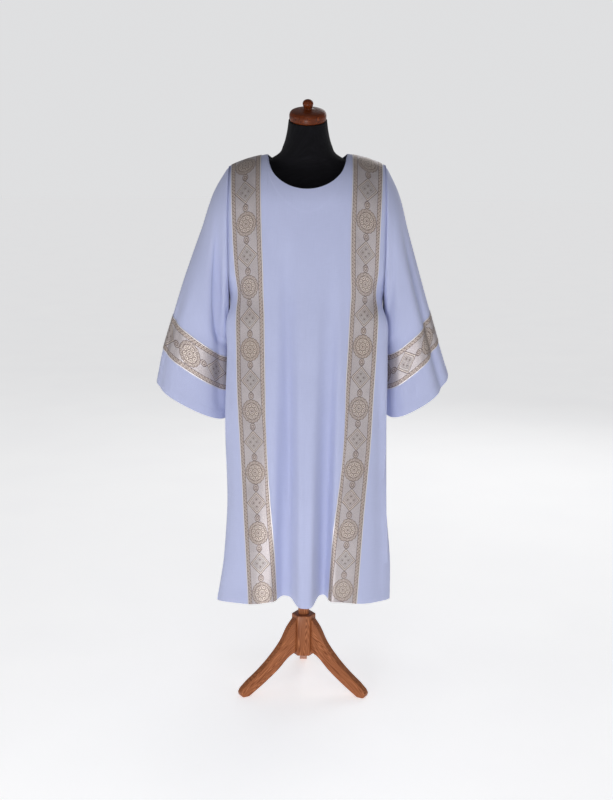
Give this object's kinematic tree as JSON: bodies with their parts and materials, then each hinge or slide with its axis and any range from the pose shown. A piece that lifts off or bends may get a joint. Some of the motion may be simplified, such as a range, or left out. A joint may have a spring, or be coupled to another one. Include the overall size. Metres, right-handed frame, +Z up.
{
  "type": "dalmatic on a dress form",
  "caption": "Loose white vestment with wide sleeves and figured gold galloons, hanging on a limbless padded dress form with a wooden tripod.",
  "frame": {"origin": "on the floor, under the middle of the object's box", "axes": "+Z up, -Y out of the garment's front, +X to the right as seen from the front"},
  "size_m": [0.813, 0.4194, 1.6668],
  "materials": {
    "cloth": "smooth fine plain weave, cool white with a soft sheen",
    "galloon": "jacquard ribbon, gold figures on a silver-ivory ground, a little metallic",
    "jersey": "matte black knit, drawn smooth",
    "wood": "red-brown varnish, glossy"
  },
  "bodies": {
    "root": {"front_panel": "cloth", "back_panel": "cloth", "neck_facing": "cloth", "sleeve_left": "cloth", "sleeve_right": "cloth", "clavus_left": "galloon", "clavus_right": "galloon", "sleeve_galloon_left": "galloon", "sleeve_galloon_right": "galloon", "form_torso": "jersey", "form_neck_cap": "wood", "form_hub": "wood", "form_pole": "wood", "form_leg_front_left": "wood", "form_leg_front_right": "wood", "form_leg_back": "wood"}
  },
  "joints": []
}
